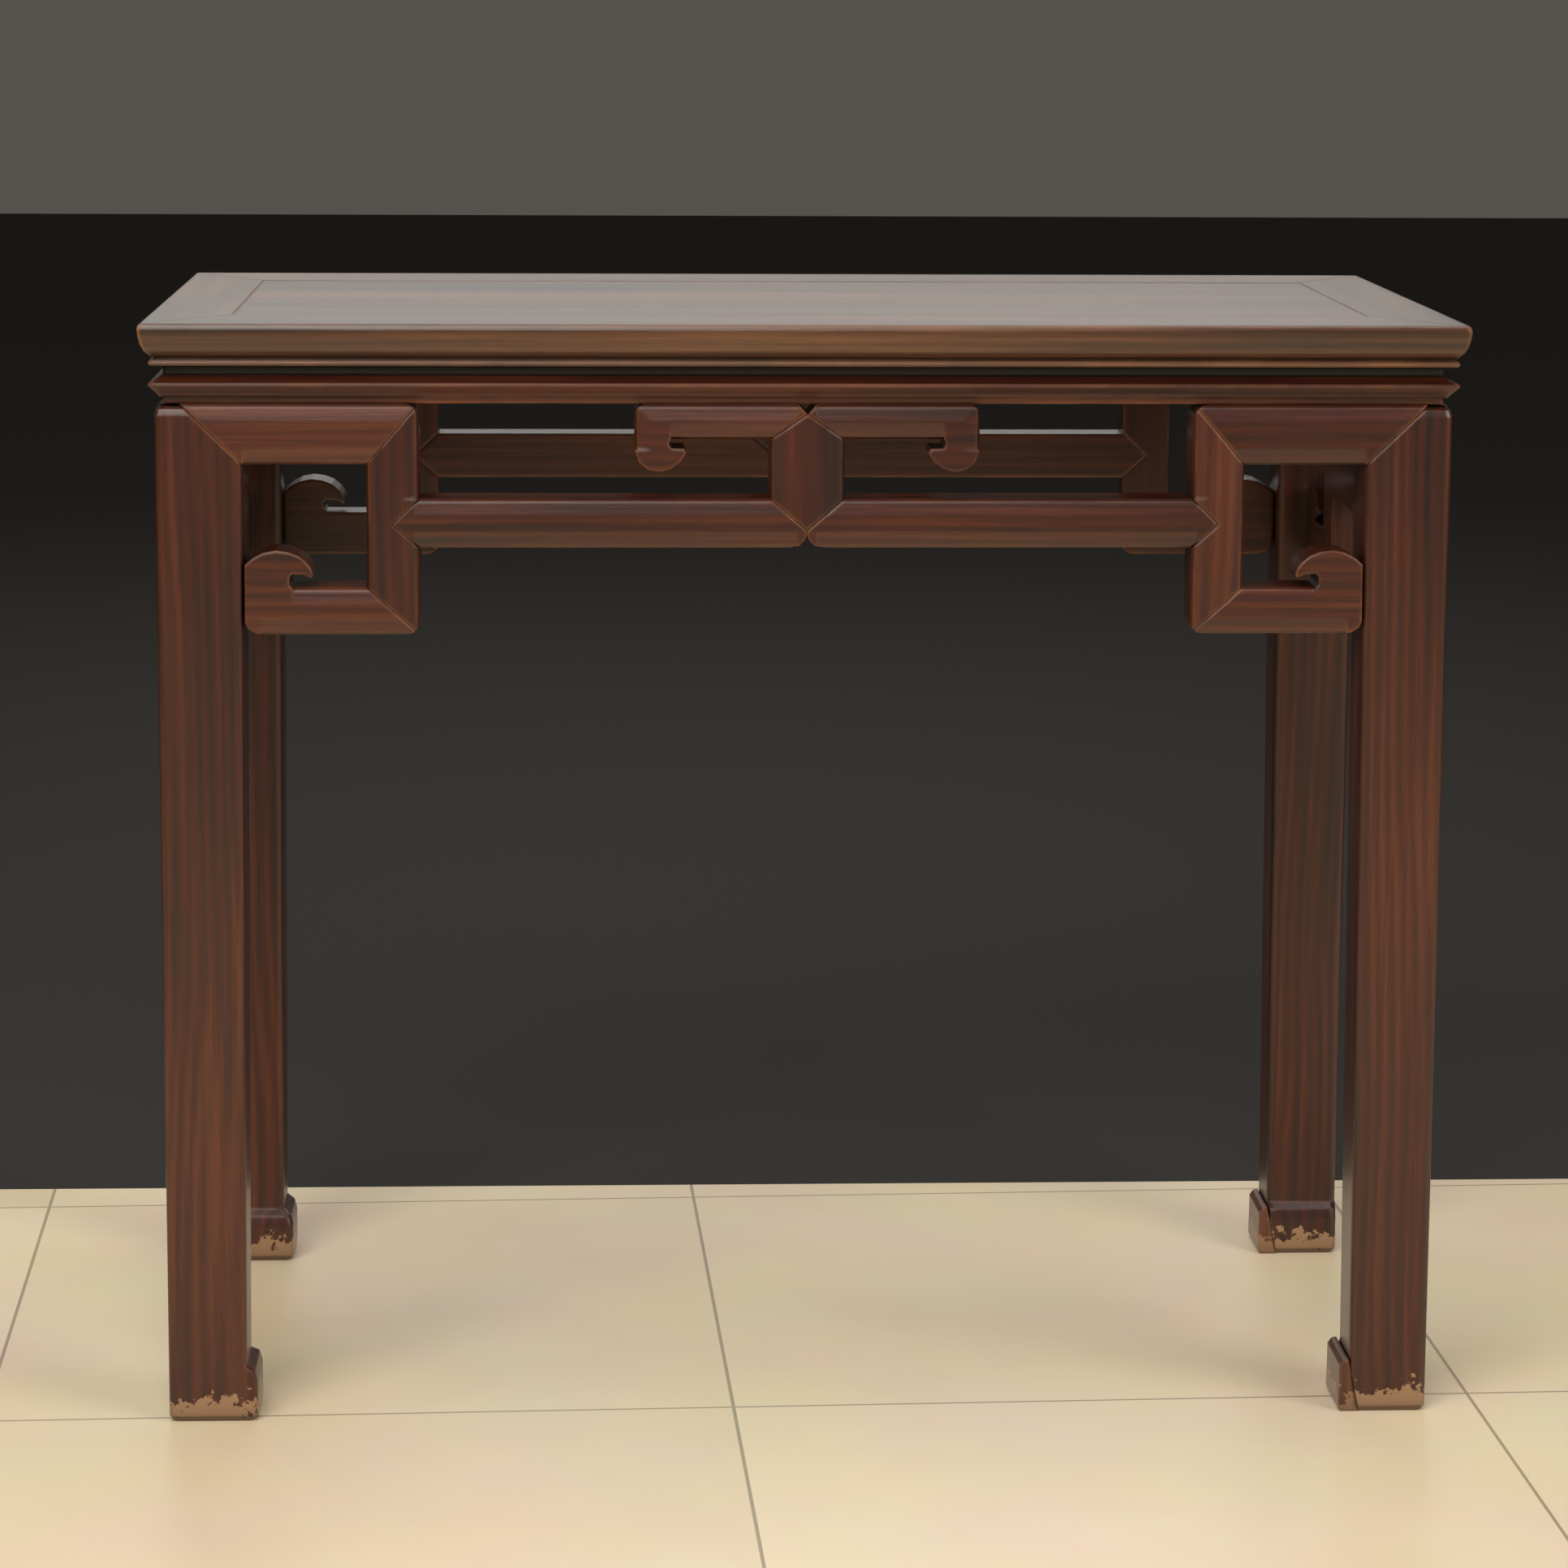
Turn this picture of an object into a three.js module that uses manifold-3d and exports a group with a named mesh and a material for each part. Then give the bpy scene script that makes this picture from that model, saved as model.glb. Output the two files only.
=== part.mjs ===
// Waisted ceremonial side table with openwork scroll aprons, hoof feet and a mitred frame-and-panel top.
// Millimetres, +Z up, front towards -Y, origin on the floor under the middle of the table.
import * as THREE from 'three';
import { mergeVertices } from 'three/addons/utils/BufferGeometryUtils.js';
import Module from 'manifold-3d';
const wasm = await Module();
wasm.setup();

// ---- overall ----
const W = 1030, D = 516, H = 878;          // top, and height
const GAP = 0.3;                           // clearance between neighbouring pieces
// ---- top ----
const TOP_UNDER = 845;                     // underside of the top frame
const RAIL_W = 88, END_W = 66;             // widths of the long and short frame rails
const TONGUE = 8;                          // panel tongue
// ---- waist and moulding, as insets from the edge of the top ----
const WAIST_IN = 18, RING_IN = 55, NOSE_IN = 7;
const MOULD_TOP = 837, MOULD_UNDER = 815.3;
// ---- legs ----
const LX = 504, LY = 247;                  // outer faces
const LEG_W = 68, LEG_D = 60, LEG_W0 = 62, LEG_D0 = 54;
const LEG_TOP = 813, HOOF = 41, TOE = 8.5;
const TEN = [470, 488, 213, 231];          // leg top tenon, |x| and |y|
// ---- openwork ----
const T = 40;                              // thickness of the aprons
const Z_TOP = 815, Z_RAIL = 768, Z_LOW1 = 672, Z_LOW0 = 635, Z_M1 = 741.5, Z_M0 = 703, Z_TIP = 721.5;
const DROP = 40.6, OPEN_LONG = 94.4, OPEN_SHORT = 78, TIP_IN = 20.5;

const wood = (c, r) => new THREE.MeshStandardMaterial({ color: c, roughness: r, metalness: 0 });
const FRAME_WOOD = wood(0x5a2415, 0.38), TOP_WOOD = wood(0x6b3a20, 0.35), DARK_WOOD = wood(0x3a1a10, 0.5);
const UNDER_WOOD = wood(0x6a4a30, 0.75), BLOCK_WOOD = wood(0x7a3418, 0.5);

function solid(geo) {
  const g = new THREE.BufferGeometry();
  g.setAttribute('position', geo.getAttribute('position').clone());
  if (geo.index) g.setIndex(geo.index.clone());
  const m = mergeVertices(g, 1e-4);
  return new wasm.Manifold(new wasm.Mesh({
    numProp: 3,
    vertProperties: new Float32Array(m.attributes.position.array),
    triVerts: new Uint32Array(m.index.array),
  }));
}
function extrude(pts, depth) {
  const s = new THREE.Shape(pts.map((p) => new THREE.Vector2(p[0], p[1])));
  return new THREE.ExtrudeGeometry(s, { depth, bevelEnabled: false, curveSegments: 1 });
}
function prismY(pts, y0, y1) {             // outline in (x, z)
  const g = extrude(pts, y1 - y0);
  g.rotateX(Math.PI / 2);
  g.translate(0, y1, 0);
  return solid(g);
}
function prismX(pts, x0, x1) {             // outline in (y, z)
  const g = extrude(pts, x1 - x0);
  g.applyMatrix4(new THREE.Matrix4().makeBasis(new THREE.Vector3(0, 1, 0), new THREE.Vector3(0, 0, 1), new THREE.Vector3(1, 0, 0)));
  g.translate(x0, 0, 0);
  return solid(g);
}
function prismZ(pts, z0, z1) {             // outline in (x, y)
  const g = extrude(pts, z1 - z0);
  g.translate(0, 0, z0);
  return solid(g);
}
function box(x0, x1, y0, y1, z0, z1) {
  const g = new THREE.BoxGeometry(Math.abs(x1 - x0), Math.abs(y1 - y0), Math.abs(z1 - z0));
  g.translate((x0 + x1) / 2, (y0 + y1) / 2, (z0 + z1) / 2);
  return solid(g);
}
const grow = (b, c = GAP) => [Math.min(b[0], b[1]) - c, Math.max(b[0], b[1]) + c, Math.min(b[2], b[3]) - c, Math.max(b[2], b[3]) + c, b[4] - c, b[5] + c];
// Stacked sections, each a list of [x, y, z], all with the same number of points.
function loft(sections) {
  const n = sections[0].length, pos = [], idx = [];
  for (const s of sections) for (const p of s) pos.push(...p);
  for (let k = 0; k + 1 < sections.length; k++)
    for (let i = 0; i < n; i++) {
      const a = k * n + i, b = k * n + (i + 1) % n, c = a + n, d = b + n;
      idx.push(a, b, d, a, d, c);
    }
  for (let i = 1; i + 1 < n; i++) idx.push(0, i + 1, i);
  const t = (sections.length - 1) * n;
  for (let i = 1; i + 1 < n; i++) idx.push(t, t + i, t + i + 1);
  let vol = 0;
  const v = (i) => new THREE.Vector3(pos[3 * i], pos[3 * i + 1], pos[3 * i + 2]);
  for (let i = 0; i < idx.length; i += 3) vol += v(idx[i]).dot(v(idx[i + 1]).cross(v(idx[i + 2])));
  if (vol < 0) for (let i = 0; i < idx.length; i += 3) [idx[i], idx[i + 1]] = [idx[i + 1], idx[i]];
  const g = new THREE.BufferGeometry();
  g.setAttribute('position', new THREE.Float32BufferAttribute(pos, 3));
  g.setIndex(idx);
  return solid(g);
}
function roundRect(x0, x1, y0, y1, z, r) {
  const out = [], c = [[x1 - r, y1 - r, 0], [x0 + r, y1 - r, 90], [x0 + r, y0 + r, 180], [x1 - r, y0 + r, 270]];
  for (const [cx, cy, a] of c)
    for (let k = 0; k <= 3; k++) {
      const t = (a + 30 * k) * Math.PI / 180;
      out.push([cx + r * Math.cos(t), cy + r * Math.sin(t), z]);
    }
  return out;
}
const arc = (cx, cz, r, a0, a1, n = 3, rz = r) => Array.from({ length: n + 1 }, (_, k) => {
  const t = (a0 + (a1 - a0) * k / n) * Math.PI / 180;
  return [cx + r * Math.cos(t), cz + rz * Math.sin(t)];
});
// Takes the arris off the front of a body along the edge p-q of its outline (outline counter-clockwise seen from the front).
function ease(m, face, edges, s = 1) {
  for (let [p, q, e0 = 0, e1 = 0] of edges) {
    if (s < 0) [p, q, e0, e1] = [[-q[0], q[1]], [-p[0], p[1]], e1, e0];
    const d = new THREE.Vector2(q[0] - p[0], q[1] - p[1]), len = d.length();
    d.normalize();
    for (const [cn, cy] of [[13, 2], [3.5, 4.5]]) {
      const k = 0.3, a = [-cn * (1 + k), -cy * k], b = [cn * k, cy * (1 + k)], c = [cn * k, -cy * k];
      const g = extrude([a, b, c], len + e0 + e1);
      g.applyMatrix4(new THREE.Matrix4().makeBasis(new THREE.Vector3(d.y, 0, -d.x), new THREE.Vector3(0, 1, 0), new THREE.Vector3(d.x, 0, d.y)));
      g.translate(p[0] - d.x * e0, face, p[1] - d.y * e0);
      m = m.subtract(solid(g));
    }
  }
  return m;
}
const group = new THREE.Group();
group.name = 'ceremonial_table';
function put(name, m, material, parent = group) {
  const r = m.getMesh(), g = new THREE.BufferGeometry();
  g.setAttribute('position', new THREE.BufferAttribute(new Float32Array(r.vertProperties), 3));
  g.setIndex(new THREE.BufferAttribute(new Uint32Array(r.triVerts), 1));
  g.computeVertexNormals();
  const mesh = new THREE.Mesh(g, material);
  mesh.name = name;
  parent.add(mesh);
  return mesh;
}
const mirrored = (pts, s) => (s > 0 ? pts : pts.map(([x, z]) => [-x, z]).reverse());

// ---------------------------------------------------------------- legs
const tenons = { rail: [], low: [] };
const SIGN = { front: -1, back: 1, left: -1, right: 1 };
const legTenon = (sx, sy) => [sx * TEN[0], sx * TEN[1], sy * TEN[2], sy * TEN[3], LEG_TOP - 8, 865];
// Tenons of the aprons in the legs, in |along|, |across| terms: [along0, along1, face distance 0, 1, z0, z1]
const RAIL_TENON = [0, 22, 12, 30, 778, 800];
const LOW_TENON = [0, 18, 14, 26, 644, 662];
function lapLine(edge) {                   // mitre on the leg's face, from the top to the inner edge, in |along| terms
  return [[edge + 48.5, Z_TOP], [edge, Z_RAIL]];
}
function leg(sx, sy, block) {
  const sec = (z, w, d, o, r = 5) => {
    const xs = [sx * (LX - o), sx * (LX - w)], ys = [sy * (LY - o), sy * (LY - d)];
    return roundRect(Math.min(...xs), Math.max(...xs), Math.min(...ys), Math.max(...ys), z, r);
  };
  const toeX = block ? 0 : TOE;
  let m = loft([
    sec(0, LEG_W0 + toeX - 3, LEG_D0 + TOE - 3, 3),
    sec(5, LEG_W0 + toeX, LEG_D0 + TOE, 0),
    sec(HOOF - 8, LEG_W0 + toeX, LEG_D0 + TOE, 0),
    sec(HOOF, LEG_W0 + toeX * 0.75, LEG_D0 + TOE * 0.75, 0),
    sec(HOOF + 5, LEG_W0, LEG_D0, 0),
    sec(420, (LEG_W + LEG_W0) / 2, (LEG_D + LEG_D0) / 2, 0),
    sec(LEG_TOP - 7, LEG_W, LEG_D, 0),
    sec(LEG_TOP - 2, LEG_W, LEG_D, 1.2),
    sec(LEG_TOP, LEG_W, LEG_D, 4),
  ]);
  m = m.add(box(...legTenon(sx, sy)));
  // mitred laps of the front and side aprons
  const cut = (edge) => {
    const [[a0, z0], [b0, z1]] = lapLine(edge), n = 0.3 * 0.718;
    const dx = (b0 - a0), dz = z1 - z0, l = Math.hypot(dx, dz);
    const p = [a0 + n - dx / l * 3, z0 - n - dz / l * 3], q = [b0 + n + dx / l * 4, z1 - n + dz / l * 4];
    return [p, q, [q[0], p[1]]];
  };
  const fx = cut(LX - LEG_W).map(([a, z]) => [sx * a, z]);
  const y0 = sy * (LY + 2), y1 = sy * (LY - 14 - GAP);
  m = m.subtract(prismY(fx, Math.min(y0, y1), Math.max(y0, y1)));
  const fy = cut(LY - LEG_D).map(([a, z]) => [sy * a, z]);
  const x0 = sx * (LX + 2), x1 = sx * (LX - 14 - GAP);
  m = m.subtract(prismX(fy, Math.min(x0, x1), Math.max(x0, x1)));
  for (const t of [RAIL_TENON, LOW_TENON]) {
    const ex = LX - LEG_W, ey = LY - LEG_D;
    m = m.subtract(box(...grow([sx * (ex - 6), sx * (ex + t[1]), sy * (LY - t[2]), sy * (LY - t[3]), t[4], t[5]])));
    m = m.subtract(box(...grow([sx * (LX - t[2]), sx * (LX - t[3]), sy * (ey - 6), sy * (ey + t[1]), t[4], t[5]])));
  }
  if (block) {
    const c = [[430, -1], [450.2, -1], [441.2, 43.6], [430, 43.6]].map(([a, z]) => [sx * a, z]);
    m = m.subtract(prismY(c, Math.min(sy * 150, sy * 260), Math.max(sy * 150, sy * 260)));
  }
  return m;
}
for (const [fy, sy] of [['front', -1], ['back', 1]])
  for (const [fx, sx] of [['left', -1], ['right', 1]]) {
    const block = fx === 'right';
    put(`leg_${fy}_${fx}`, leg(sx, sy, block), FRAME_WOOD);
    if (block) {
      const b = [[433.6, 3], [436, 0], [449.8, 0], [441, 43.2], [437, 42.4], [434, 38]];
      const ys = [sy * (LY - 2), sy * (LY - LEG_D0 - TOE + 1)];
      put(`hoof_block_${fy}_right`, prismY(b, Math.min(...ys), Math.max(...ys)), BLOCK_WOOD);
    }
  }

// ---------------------------------------------------------------- waist and moulding, mitred rings
const holes = [[-1, -1], [1, -1], [-1, 1], [1, 1]].map(([sx, sy]) => box(...grow(legTenon(sx, sy))));
const drill = (m) => holes.reduce((a, h) => a.subtract(h), m);
function ring(prefix, profile, inset, material) { // profile as [inset, z], outermost at inset
  const ox = W / 2 - inset, oy = D / 2 - inset, w = RING_IN - inset, g = 0.21;
  for (const s of [-1, 1]) {
    const long = prismX(profile.map(([i, z]) => [s * (D / 2 - i), z]), -ox, ox)
      .intersect(prismZ([[-ox + g, s * oy], [ox - g, s * oy], [ox - w - g, s * (oy - w)], [-ox + w + g, s * (oy - w)]], 700, 900));
    put(`${prefix}_${s < 0 ? 'front' : 'back'}`, drill(long), material);
    const short = prismY(profile.map(([i, z]) => [s * (W / 2 - i), z]), -oy, oy)
      .intersect(prismZ([[s * ox, -oy + g], [s * (ox - w), -oy + w + g], [s * (ox - w), oy - w - g], [s * ox, oy - g]], 700, 900));
    put(`${prefix}_${s < 0 ? 'left' : 'right'}`, drill(short), material);
  }
}
ring('waist', [[WAIST_IN, MOULD_TOP + GAP], [RING_IN, MOULD_TOP + GAP], [RING_IN, TOP_UNDER - GAP], [WAIST_IN, TOP_UNDER - GAP]], WAIST_IN, DARK_WOOD);
ring('moulding', [[18, MOULD_UNDER], [RING_IN, MOULD_UNDER], [RING_IN, MOULD_TOP], [17.5, MOULD_TOP], [14, 834.8], [10.5, 832.8],
  [8, 831.9], [NOSE_IN, 830.8], [NOSE_IN, 829.6], [8.4, 828.2], [13, 823.4], [15, 820.6], [18, 820.2]], NOSE_IN, FRAME_WOOD);

// ---------------------------------------------------------------- top: frame, floating panel, battens
const EDGE = [[2.6, H], [0.8, H - 1.3], [0, H - 4.5], [0.5, H - 10], [1.9, H - 16], [4.6, H - 21.5], [9.2, H - 26], [12, H - 26.6],
  [12, H - 28], [8.6, H - 28.5], [7.2, H - 30.6], [8.4, TOP_UNDER]];
const M = 12;                              // the mitre runs at 45 degrees through the moulded edge, then to the inner corner
const battens = [-232, 0, 232];
const panelTongue = [-(W / 2 - END_W) - TONGUE, W / 2 - END_W + TONGUE, -(D / 2 - RAIL_W) - TONGUE, D / 2 - RAIL_W + TONGUE, 866, 870];
const railTenon = (sx, sy) => [sx * (W / 2 - 78), sx * (W / 2 - 9), sy * (D / 2 - 52), sy * (D / 2 - 78), 852, 862];
const battenTenon = (x, sy) => [x - 10, x + 10, sy * (D / 2 - RAIL_W - 4), sy * (D / 2 - RAIL_W + 18), 850, 860];
for (const s of [-1, 1]) {
  const g = 0.2;
  let long = prismX([...EDGE, [RAIL_W, TOP_UNDER], [RAIL_W, H]].map(([i, z]) => [s * (D / 2 - i), z]), -W / 2, W / 2)
    .intersect(prismZ([[-W / 2 + g, s * D / 2], [W / 2 - g, s * D / 2], [W / 2 - M - g, s * (D / 2 - M)], [W / 2 - END_W - g, s * (D / 2 - RAIL_W)],
      [-W / 2 + END_W + g, s * (D / 2 - RAIL_W)], [-W / 2 + M + g, s * (D / 2 - M)]], 800, 900));
  for (const sx of [-1, 1]) long = long.add(box(...railTenon(sx, s)));
  long = drill(long).subtract(box(...grow(panelTongue)));
  for (const x of battens) long = long.subtract(box(...grow(battenTenon(x, s))));
  put(`top_rail_${s < 0 ? 'front' : 'back'}`, long, TOP_WOOD);
  let end = prismY([...EDGE, [END_W, TOP_UNDER], [END_W, H]].map(([i, z]) => [s * (W / 2 - i), z]), -D / 2, D / 2)
    .intersect(prismZ([[s * W / 2, -D / 2 + g], [s * (W / 2 - M), -D / 2 + M + g], [s * (W / 2 - END_W), -D / 2 + RAIL_W + g],
      [s * (W / 2 - END_W), D / 2 - RAIL_W - g], [s * (W / 2 - M), D / 2 - M - g], [s * W / 2, D / 2 - g]], 800, 900));
  for (const sy of [-1, 1]) end = end.subtract(box(...grow(railTenon(s, sy))));
  end = drill(end).subtract(box(...grow(panelTongue)));
  put(`top_rail_${s < 0 ? 'left' : 'right'}`, end, TOP_WOOD);
}
const px = W / 2 - END_W - GAP, py = D / 2 - RAIL_W - GAP;
put('top_panel', box(-px, px, -py, py, 864, H - 0.3).add(box(...panelTongue)), TOP_WOOD);
battens.forEach((x, i) => {
  let b = prismX([[-py, 846], [py, 846], [py, 863.7], [-py, 863.7]], x - 18, x + 18);
  for (const sy of [-1, 1]) b = b.add(box(...battenTenon(x, sy)));
  put(`batten_${['left', 'middle', 'right'][i]}`, b, UNDER_WOOD);
});

// ---------------------------------------------------------------- openwork aprons
// Built facing -Y with the legs' inner edges at -a and +a; each side is a group turned into place.
function corner(side, a, open, face, sup) {
  const xL = -a, xd0 = -a + open, xd1 = xd0 + DROP, r = 11, r2 = 10, g = 0.15;
  const C = [xd1 - r, Z_TOP - r], C2 = [xd1 - r2, Z_LOW0 + r2];
  const I = [xd0, Z_RAIL], J = [xd0, Z_LOW1], Mt = arc(C[0], C[1], r, 45, 45, 1)[0], Mb = arc(C2[0], C2[1], r2, -45, -45, 1)[0];
  const off = (p, q, k) => {               // shift both points by k along the right-hand normal of p-q
    const dx = q[0] - p[0], dz = q[1] - p[1], l = Math.hypot(dx, dz);
    return [[p[0] + dz / l * k, p[1] - dx / l * k], [q[0] + dz / l * k, q[1] - dx / l * k]];
  };
  const [tI, tM] = off(I, Mt, -g), [dI, dM] = off(I, Mt, g), [dJ, dMb] = off(J, Mb, -g), [bJ, bMb] = off(J, Mb, g);
  const y0 = -face, y1 = -face + T, back = -face + 14;
  const tongueTop = [xd0 + 10, xd0 + 24, y0 + 15, y0 + 25, 770, 803], tongueLow = [xd0 + 10, xd0 + 24, y0 + 15, y0 + 25, 643, 672];
  const tongueMid = [xd1 - 33, xd1 + 12, y0 + 15, y0 + 25, Z_TIP - 6, Z_TIP + 6];
  for (const [s, word] of [[1, 'left'], [-1, 'right']]) {
    const B = (b, c = 0) => box(...grow([s * b[0], s * b[1], b[2], b[3], b[4], b[5]], c));
    const P = (pts, f = y0, t = y1) => prismY(mirrored(pts, s), f, t);
    // top rail, with its mitred lap on the leg
    const topArc = arc(C[0], C[1], r, 45, 90, 2).slice(1);
    let top = P([[xL + GAP, Z_RAIL], tI, tM, ...topArc, [xL + GAP, Z_TOP]])
      .add(P([[xL - 0.2, Z_RAIL + 0.2], [xL + 2, Z_RAIL], [xL + 2, Z_TOP], [xL - 48.3, Z_TOP]], y0, back))
      .add(B([xL - RAIL_TENON[1], xL + 6, y0 + RAIL_TENON[2], y0 + RAIL_TENON[3], RAIL_TENON[4], RAIL_TENON[5]]));
    top = top.subtract(B(tongueTop, GAP));
    top = ease(top, y0, [[[xL, Z_RAIL], I, 0, 14], [[C[0], Z_TOP], [xL - 49, Z_TOP], r, 0]], s);
    put(`${side}_corner_rail_${word}`, top, FRAME_WOOD, sup);
    // drop
    const aU = arc(C[0], C[1], r, 0, 45, 2).slice(0, -1), aD = arc(C2[0], C2[1], r2, -45, 0, 2).slice(1);
    let drop = P([dJ, dMb, ...aD, [xd1, Z_M0 - GAP], [xd1 - TIP_IN - GAP, Z_TIP], [xd1, Z_M1 + GAP], ...aU, dM, dI])
      .add(B(tongueTop)).add(B(tongueLow)).subtract(B(tongueMid, GAP));
    drop = ease(drop, y0, [[I, J, 14, 14], [[xd1, Z_LOW0 + r2], [xd1, Z_M0], r2, 0], [[xd1, Z_M1], [xd1, Z_TOP - r], 0, r]], s);
    put(`${side}_drop_${word}`, drop, FRAME_WOOD, sup);
    // low rail with its upturned scroll against the leg
    const lowArc = arc(C2[0], C2[1], r2, -90, -45, 2).slice(0, -1);
    let low = P([...arc(xL + 1 + 15, Z_LOW0 + 10, 16, 180, 270, 3, 10), ...lowArc, bMb, bJ,
      [xL + 36.5, Z_LOW1], [xL + 34.6, 674.5], [xL + 34.6, 680], [xL + 37, 683], [xL + 46, 682.4], [xL + 52, 679.5], [xL + 53, 682.5],
      [xL + 51.6, 687], [xL + 48.2, 691.5], [xL + 42, 696.8], [xL + 33.5, 700], [xL + 24, 701.2], [xL + 14, 699.2], [xL + 6, 695], [xL + GAP, 690]])
      .add(B([xL - LOW_TENON[1], xL + 8, y0 + LOW_TENON[2], y0 + LOW_TENON[3], LOW_TENON[4], LOW_TENON[5]]));
    low = low.subtract(B(tongueLow, GAP));
    low = ease(low, y0, [[J, [xL + 37, Z_LOW1], 14, 0], [[xL + 12, Z_LOW0], [C2[0], Z_LOW0], 0, r2]], s);
    put(`${side}_scroll_rail_${word}`, low, FRAME_WOOD, sup);
  }
  return { xd1, tongueMid };
}
function sideGroup(name, angle) {
  const g = new THREE.Group();
  g.name = name;
  g.rotation.z = angle;
  group.add(g);
  return g;
}
for (const [side, angle] of [['front', 0], ['back', Math.PI]]) {
  const sup = sideGroup(`${side}_apron`, angle), face = LY, y0 = -face, y1 = y0 + T;
  const { xd1, tongueMid } = corner(side, LX - LEG_W, OPEN_LONG, face, sup);
  const pt = [[-20, -9], [9, 20]];
  const upT = pt.map(([a, b]) => [a, b, y0 + 15, y0 + 25, 784, 806]), dnT = pt.map(([a, b]) => [a, b, y0 + 15, y0 + 25, 716, 746]);
  let post = prismY([[0, 717.1], [28.9, 741.9], [29, 787.7], [0, 807.7], [-29, 787.7], [-28.9, 741.9]], y0, y1);
  for (const b of [...upT, ...dnT]) post = post.add(box(...b));
  post = ease(post, y0, [[[29, Z_M1], [29, 788], 14, 10], [[-29, 788], [-29, Z_M1], 10, 14]]);
  put(`${side}_centre_post`, post, FRAME_WOOD, sup);
  for (const [s, word] of [[1, 'left'], [-1, 'right']]) {
    let arm = prismY(mirrored([[-115, 762.6], [-106, 765], [-98.5, 770.5], [-94, 777.5], [-96, 780.8], [-105.6, 781], [-107.7, 784.5], [-106.5, 788],
      [-29, 788], [-0.5, 807.9], [-7, 815.2], [-125.5, 815.2], ...arc(-125, 806.2, 9, 105, 180, 3), [-134, 780], [-130.5, 770], [-124, 764.6]], s), y0, y1);
    for (const b of upT) arm = arm.subtract(box(...grow(b)));
    arm = ease(arm, y0, [[[-106, 788], [-29, 788], 0, 14], [[-7, 815.2], [-125, 815.2], 0, 9], [[-134, 806], [-134, 780], 9, 0]], s);
    put(`${side}_scroll_arm_${word}`, arm, FRAME_WOOD, sup);
    const q = (b, c) => box(...grow([s * b[0], s * b[1], b[2], b[3], b[4], b[5]], c));
    let rail = prismY(mirrored([[xd1 - TIP_IN, Z_TIP], [xd1, Z_M0], [-14, Z_M0], [-6.5, 704.6], [-2, 708.5], [-0.15, 713], [-0.15, 716.6], [-28.9, 741.4], [xd1, Z_M1]], s), y0, y1)
      .add(q(tongueMid, 0));
    for (const b of dnT) rail = rail.subtract(box(...grow(b)));
    rail = ease(rail, y0, [[[xd1 - 4, Z_M0], [-14, Z_M0], 0, 6], [[-28.9, Z_M1], [xd1 - 4, Z_M1], 14, 0]], s);
    put(`${side}_long_rail_${word}`, rail, FRAME_WOOD, sup);
  }
}
for (const [side, angle] of [['left', -Math.PI / 2], ['right', Math.PI / 2]]) {
  const sup = sideGroup(`${side}_apron`, angle), face = LX, y0 = -face, y1 = y0 + T;
  const { xd1, tongueMid } = corner(side, LY - LEG_D, OPEN_SHORT, face, sup);
  let rail = prismY([[xd1 - TIP_IN, Z_TIP], [xd1, Z_M0], [-xd1, Z_M0], [-xd1 + TIP_IN, Z_TIP], [-xd1, Z_M1], [xd1, Z_M1]], y0, y1)
    .add(box(...tongueMid)).add(box(-tongueMid[0], -tongueMid[1], tongueMid[2], tongueMid[3], tongueMid[4], tongueMid[5]));
  rail = ease(rail, y0, [[[xd1 - 4, Z_M0], [-xd1 + 4, Z_M0]], [[-xd1 + 4, Z_M1], [xd1 - 4, Z_M1]]]);
  put(`${side}_short_rail`, rail, FRAME_WOOD, sup);
}

export default group;
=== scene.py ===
import math

import bpy
import numpy as np
from mathutils import Matrix, Vector

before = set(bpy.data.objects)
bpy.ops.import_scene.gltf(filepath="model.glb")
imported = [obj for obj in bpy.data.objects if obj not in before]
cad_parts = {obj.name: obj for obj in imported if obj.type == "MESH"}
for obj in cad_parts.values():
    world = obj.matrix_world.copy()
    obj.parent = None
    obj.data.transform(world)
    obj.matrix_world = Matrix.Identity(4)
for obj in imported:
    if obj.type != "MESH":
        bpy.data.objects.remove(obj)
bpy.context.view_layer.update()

scene = bpy.context.scene


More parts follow.
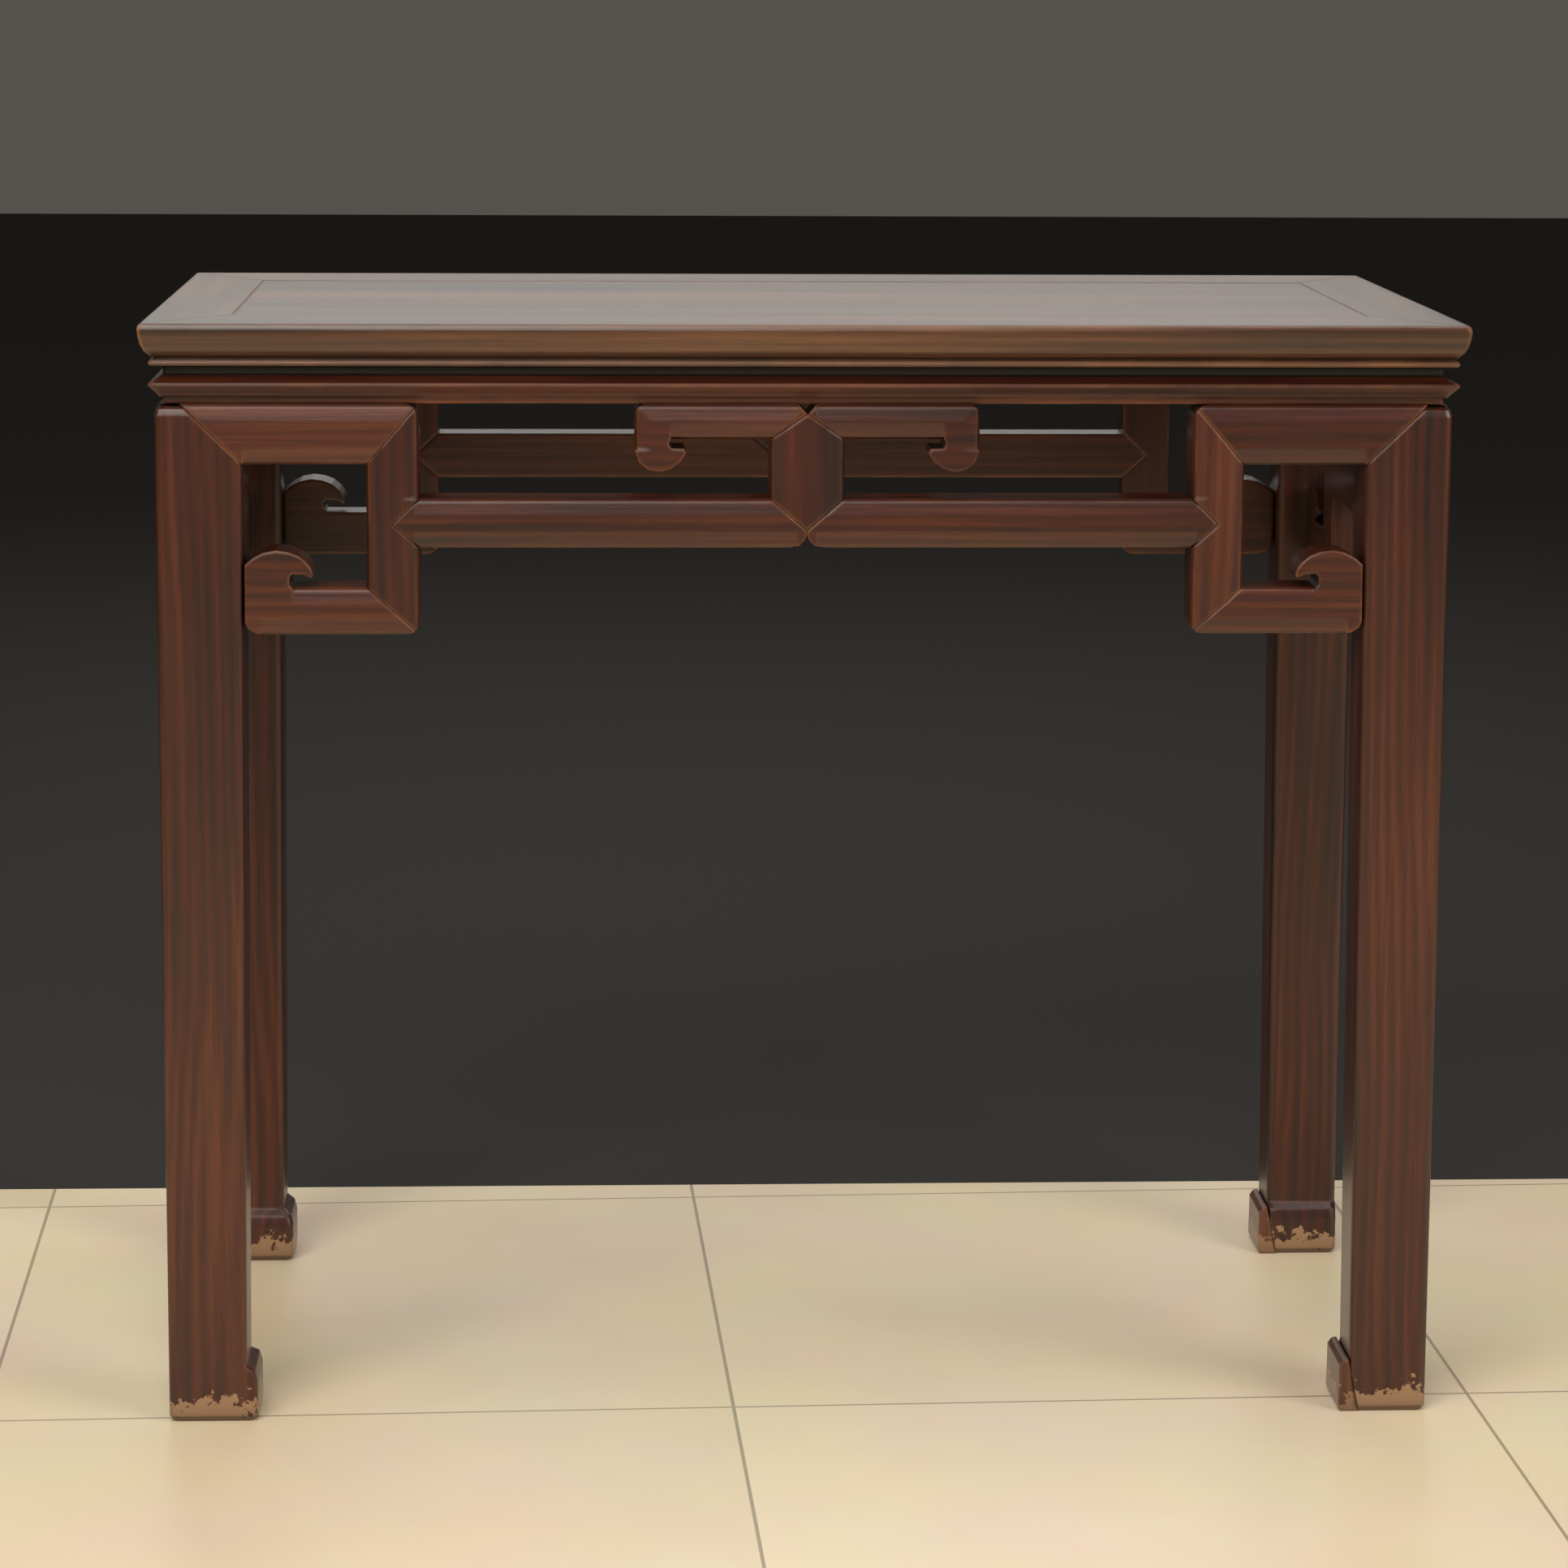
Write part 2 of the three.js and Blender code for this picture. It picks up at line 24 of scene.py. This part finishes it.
# ------------------------------------------------------------------ materials
def wood(name, axis, dark, mid, light, worn, wear=0.6, rough=0.36, coat=0.35, foot=0.0, recess_shade=1.0, seed=0.0):
    """Lacquered timber with the grain along one axis of the table."""
    m = bpy.data.materials.new(name)
    m.use_nodes = True
    nt = m.node_tree
    N, L = nt.nodes, nt.links
    bsdf = N["Principled BSDF"]

    def node(kind, **kw):
        n = N.new(kind)
        for k, v in kw.items():
            setattr(n, k, v)
        return n

    def math_(op, a, b=None, c=None):
        n = node("ShaderNodeMath", operation=op)
        for i, v in enumerate((a, b, c)):
            if v is None:
                continue
            if isinstance(v, (int, float)):
                n.inputs[i].default_value = v
            else:
                L.new(v, n.inputs[i])
        return n.outputs[0]

    def noise(vec, scale, detail=3.0, rough_=0.55, dist=0.0):
        n = node("ShaderNodeTexNoise")
        n.inputs["Scale"].default_value = scale
        n.inputs["Detail"].default_value = detail
        n.inputs["Roughness"].default_value = rough_
        n.inputs["Distortion"].default_value = dist
        L.new(vec, n.inputs["Vector"])
        return n.outputs["Fac"]

    def ramp(fac, stops):
        n = node("ShaderNodeValToRGB")
        e = n.color_ramp.elements
        while len(e) < len(stops):
            e.new(0.5)
        for el, (p, c) in zip(e, stops):
            el.position = p
            el.color = (*c, 1) if len(c) == 3 else c
        L.new(fac, n.inputs[0])
        return n.outputs[0]

    def mix(fac, a, b, mode="MIX"):
        n = node("ShaderNodeMix", data_type="RGBA", blend_type=mode)
        for sock, v in ((n.inputs[0], fac), (n.inputs[6], a), (n.inputs[7], b)):
            if isinstance(v, (int, float)):
                sock.default_value = v
            elif isinstance(v, tuple):
                sock.default_value = (*v, 1)
            else:
                L.new(v, sock)
        return n.outputs[2]

    co = node("ShaderNodeTexCoord").outputs["Object"]
    info = node("ShaderNodeObjectInfo").outputs["Random"]
    sep = node("ShaderNodeSeparateXYZ")
    L.new(co, sep.inputs[0])
    order = {"x": (0, 1, 2), "y": (1, 0, 2), "z": (2, 0, 1)}[axis]
    along, ca, cb = (sep.outputs[i] for i in order)
    off = math_("MULTIPLY", info, 7.3)

    def vec(sa, sc, extra=0.0):
        n = node("ShaderNodeCombineXYZ")
        L.new(math_("ADD", math_("MULTIPLY", along, sa), off), n.inputs[0])
        L.new(math_("ADD", math_("MULTIPLY", ca, sc), seed + extra), n.inputs[1])
        L.new(math_("ADD", math_("MULTIPLY", cb, sc), off), n.inputs[2])
        return n.outputs[0]

    broad = noise(vec(1.6, 9.0), 1.0, 2.0)
    streak = noise(vec(2.2, 70.0), 1.0, 5.0, 0.6, 0.4)
    fine = noise(vec(9.0, 420.0), 1.0, 3.0, 0.6)
    pore = noise(vec(60.0, 1500.0), 1.0, 1.0, 0.5)
    # growth rings: distance from a wandering pith line
    warp = noise(vec(1.1, 5.0, 3.0), 1.0, 2.0)
    ra = math_("ADD", ca, math_("MULTIPLY", warp, 0.09))
    rb = math_("ADD", cb, 0.05)
    rad = math_("SQRT", math_("ADD", math_("MULTIPLY", ra, ra), math_("MULTIPLY", rb, rb)))
    rings = math_("SINE", math_("ADD", math_("MULTIPLY", rad, 620.0), math_("MULTIPLY", streak, 5.0)))
    tone = math_("ADD", math_("MULTIPLY", broad, 0.55), math_("ADD", math_("MULTIPLY", streak, 0.45), math_("MULTIPLY", rings, 0.045)))
    tone = math_("ADD", tone, math_("MULTIPLY", math_("SUBTRACT", fine, 0.5), 0.22))
    base = ramp(tone, [(0.32, dark), (0.5, mid), (0.66, light)])
    base = mix(ramp(pore, [(0.60, (0, 0, 0)), (0.70, (0.35, 0.35, 0.35))]), base, dark)
    # worn arrises
    geo = node("ShaderNodeNewGeometry")
    bev = node("ShaderNodeBevel", samples=6)
    bev.inputs["Radius"].default_value = 0.004
    dot = node("ShaderNodeVectorMath", operation="DOT_PRODUCT")
    L.new(bev.outputs[0], dot.inputs[0])
    L.new(geo.outputs["Normal"], dot.inputs[1])
    edge = ramp(dot.outputs["Value"], [(0.80, (1, 1, 1)), (0.985, (0, 0, 0))])
    patch = noise(co, 16.0, 4.0, 0.6)
    patch = ramp(patch, [(0.44, (0, 0, 0)), (0.66, (1, 1, 1))])
    rub = math_("MULTIPLY", math_("MULTIPLY", edge, math_("ADD", math_("MULTIPLY", patch, 0.8), 0.2)), wear)
    base = mix(rub, base, worn)
    if foot:
        zz = sep.outputs[2]
        h = math_("ADD", math_("MULTIPLY", noise(co, 60.0, 4.0, 0.7), 0.09), -0.028)
        low = math_("GREATER_THAN", math_("SUBTRACT", h, zz), 0.0)
        base = mix(math_("MULTIPLY", low, foot), base, (0.36, 0.21, 0.11))
    # Painted shade: an ambient-occlusion mask multiplies the colour darker in recesses, corners and between parts.
    ao = node("ShaderNodeAmbientOcclusion", samples=6)
    ao.inputs["Distance"].default_value = 0.03
    ao_shade = ramp(ao.outputs["AO"], [(0.25, (0.25, 0.22, 0.2)), (0.8, (1, 1, 1))])
    base = mix(recess_shade, base, ao_shade, "MULTIPLY")
    L.new(base, bsdf.inputs["Base Color"])
    r = math_("ADD", rough - 0.09, math_("MULTIPLY", broad, 0.18))
    r = math_("ADD", r, math_("MULTIPLY", rub, 0.25))
    L.new(r, bsdf.inputs["Roughness"])
    bsdf.inputs["Coat Weight"].default_value = coat
    bsdf.inputs["Coat Roughness"].default_value = 0.22
    bsdf.inputs["IOR"].default_value = 1.5
    bump = node("ShaderNodeBump")
    bump.inputs["Strength"].default_value = 0.25
    bump.inputs["Distance"].default_value = 0.0006
    L.new(math_("ADD", math_("MULTIPLY", streak, 0.5), fine), bump.inputs["Height"])
    L.new(bev.outputs[0], bump.inputs["Normal"])
    L.new(bump.outputs[0], bsdf.inputs["Normal"])
    return m


RED = dict(dark=(0.010, 0.0035, 0.0018), mid=(0.046, 0.0075, 0.0022), light=(0.095, 0.022, 0.0055), worn=(0.34, 0.11, 0.026))
TOP = dict(dark=(0.020, 0.008, 0.003), mid=(0.070, 0.024, 0.009), light=(0.14, 0.055, 0.020), worn=(0.42, 0.17, 0.05))
# Painted shade: the waist colours are made near-black to stand in for the shade under the top's overhang.
WAIST_SHADE = dict(dark=(0.003, 0.0018, 0.0012), mid=(0.007, 0.0035, 0.002), light=(0.014, 0.006, 0.003), worn=(0.06, 0.022, 0.009))
UNDER = dict(dark=(0.03, 0.014, 0.007), mid=(0.07, 0.034, 0.017), light=(0.12, 0.065, 0.032), worn=(0.18, 0.1, 0.06))
BLOCK = dict(dark=(0.035, 0.010, 0.004), mid=(0.085, 0.024, 0.010), light=(0.15, 0.048, 0.02), worn=(0.36, 0.16, 0.07))
mats = {}


def mat(kind, axis):
    key = f"{kind}_{axis}"
    if key not in mats:
        mats[key] = {
            "leg": lambda: wood(key, axis, **RED, foot=0.8, wear=0.7),
            "fret": lambda: wood(key, axis, **RED, wear=0.85),
            "mould": lambda: wood(key, axis, **RED, wear=0.9),
            "top": lambda: wood(key, axis, **TOP, wear=0.8, rough=0.33, coat=0.4),
            "waist": lambda: wood(key, axis, **WAIST_SHADE, wear=0.2, rough=0.5, coat=0.1),
            "under": lambda: wood(key, axis, **UNDER, wear=0.2, rough=0.7, coat=0.0),
            "block": lambda: wood(key, axis, **BLOCK, wear=0.5, foot=0.6),
        }[kind]()
    return mats[key]


def look(node):
    """The kind of surface of a piece, its grain axis and a slot name for it."""
    side = node.split("_")[0]
    run = "y" if side in ("left", "right") else "x"
    if node.startswith("leg"):
        return "leg", "z", "frame_wood"
    if node.startswith("hoof"):
        return "block", "z", "block_wood"
    if node.startswith("waist"):
        return "waist", "y" if node.endswith(("left", "right")) else "x", "waist_wood"
    if node.startswith("moulding"):
        return "mould", "y" if node.endswith(("left", "right")) else "x", "frame_wood"
    if node.startswith("top_panel"):
        return "top", "x", "top_wood"
    if node.startswith("top_rail"):
        return "top", "y" if node.endswith(("left", "right")) else "x", "top_wood"
    if node.startswith("batten"):
        return "under", "y", "under_wood"
    if "_drop_" in node or "_post" in node:
        return "fret", "z", "frame_wood"
    return "fret", run, "frame_wood"


for name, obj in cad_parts.items():
    kind, axis, slot = look(name)
    obj.data.materials.clear()
    obj.data.materials.append(mat(kind, axis))


# ------------------------------------------------------------------ floor and light
def plain(name, colour, rough):
    m = bpy.data.materials.new(name)
    m.use_nodes = True
    b = m.node_tree.nodes["Principled BSDF"]
    b.inputs["Base Color"].default_value = (*colour, 1)
    b.inputs["Roughness"].default_value = rough
    return m


def slab(name, x0, x1, y0, y1, material, z=0.0):
    me = bpy.data.meshes.new(name)
    me.from_pydata([(x0, y0, z), (x1, y0, z), (x1, y1, z), (x0, y1, z)], [], [(0, 1, 2, 3)])
    me.materials.append(material)
    o = bpy.data.objects.new(name, me)
    scene.collection.objects.link(o)
    return o


stone = bpy.data.materials.new("stone")
stone.use_nodes = True
nt = stone.node_tree
co = nt.nodes.new("ShaderNodeTexCoord")
brick = nt.nodes.new("ShaderNodeTexBrick")
brick.offset = 0.0
brick.inputs["Scale"].default_value = 1.0
brick.inputs["Mortar Size"].default_value = 0.0015
brick.inputs["Brick Width"].default_value = 0.6
brick.inputs["Row Height"].default_value = 0.6
brick.inputs["Color1"].default_value = (0.80, 0.66, 0.46, 1)
brick.inputs["Color2"].default_value = (0.74, 0.59, 0.40, 1)
brick.inputs["Mortar"].default_value = (0.36, 0.28, 0.18, 1)
move = nt.nodes.new("ShaderNodeMapping")
move.inputs["Location"].default_value = (0.06, 0.22, 0)
move.inputs["Rotation"].default_value = (0, 0, -0.03)
nt.links.new(co.outputs["Object"], move.inputs[0])
nt.links.new(move.outputs[0], brick.inputs[0])
cloud = nt.nodes.new("ShaderNodeTexNoise")
cloud.inputs["Scale"].default_value = 5.0
cloud.inputs["Detail"].default_value = 6.0
nt.links.new(co.outputs["Object"], cloud.inputs["Vector"])
mixc = nt.nodes.new("ShaderNodeMix")
mixc.data_type = "RGBA"
mixc.blend_type = "SOFT_LIGHT"
mixc.inputs[0].default_value = 0.35
nt.links.new(brick.outputs["Color"], mixc.inputs[6])
nt.links.new(cloud.outputs["Color"], mixc.inputs[7])
nt.links.new(mixc.outputs[2], nt.nodes["Principled BSDF"].inputs["Base Color"])
nt.nodes["Principled BSDF"].inputs["Roughness"].default_value = 0.4
slab("floor_near", -15, 15, -15, 0.42, stone)
slab("floor_far", -15, 15, 0.42, 15, plain("charcoal", (0.018, 0.015, 0.012), 0.9))

world = bpy.data.worlds.new("world")
world.use_nodes = True
world.node_tree.nodes["Background"].inputs[0].default_value = (0.09, 0.085, 0.075, 1)
world.node_tree.nodes["Background"].inputs[1].default_value = 1.0
scene.world = world


def area(name, loc, target, size, power, colour=(1, 1, 1)):
    light = bpy.data.lights.new(name, "AREA")
    light.shape = "RECTANGLE"
    light.size, light.size_y = size
    light.energy = power
    light.color = colour
    o = bpy.data.objects.new(name, light)
    scene.collection.objects.link(o)
    o.location = loc
    o.rotation_euler = (Vector(target) - Vector(loc)).to_track_quat("-Z", "Y").to_euler()
    o.visible_camera = False
    return o


area("key", (-1.2, -3.0, 3.0), (0, 0, 0.4), (3.2, 1.8), 150, (1.0, 0.96, 0.90))
area("fill", (2.8, -2.4, 2.0), (0, 0, 0.4), (1.8, 1.8), 60, (1.0, 0.98, 0.95))
area("above", (0.0, 0.2, 3.6), (0, 0.1, 0.8), (3.0, 2.0), 45, (1.0, 0.98, 0.95))
area("back", (0.0, 4.2, 2.6), (0, 0, 0.4), (3.0, 1.6), 30, (1.0, 0.98, 0.95))

# ------------------------------------------------------------------ camera
YAW, PITCH, ROLL = 0.0451, 0.1504, -0.0059
cam = bpy.data.cameras.new("camera")
cam.sensor_width = 36
cam.lens = 101.46
cam.shift_x, cam.shift_y = 0.0, -0.115
cam.dof.use_dof = False
cam.clip_end = 200
camo = bpy.data.objects.new("camera", cam)
scene.collection.objects.link(camo)
fwd = Vector((math.sin(YAW) * math.cos(PITCH), math.cos(YAW) * math.cos(PITCH), -math.sin(PITCH)))
right = Vector((math.cos(YAW), -math.sin(YAW), 0))
down = fwd.cross(right)
r2 = math.cos(ROLL) * right + math.sin(ROLL) * down
d2 = -math.sin(ROLL) * right + math.cos(ROLL) * down
camo.matrix_world = Matrix((
    (r2.x, -d2.x, -fwd.x, -0.1711),
    (r2.y, -d2.y, -fwd.y, -3.6481),
    (r2.z, -d2.z, -fwd.z, 1.1754),
    (0, 0, 0, 1),
))
scene.camera = camo
scene.view_settings.view_transform = "Standard"
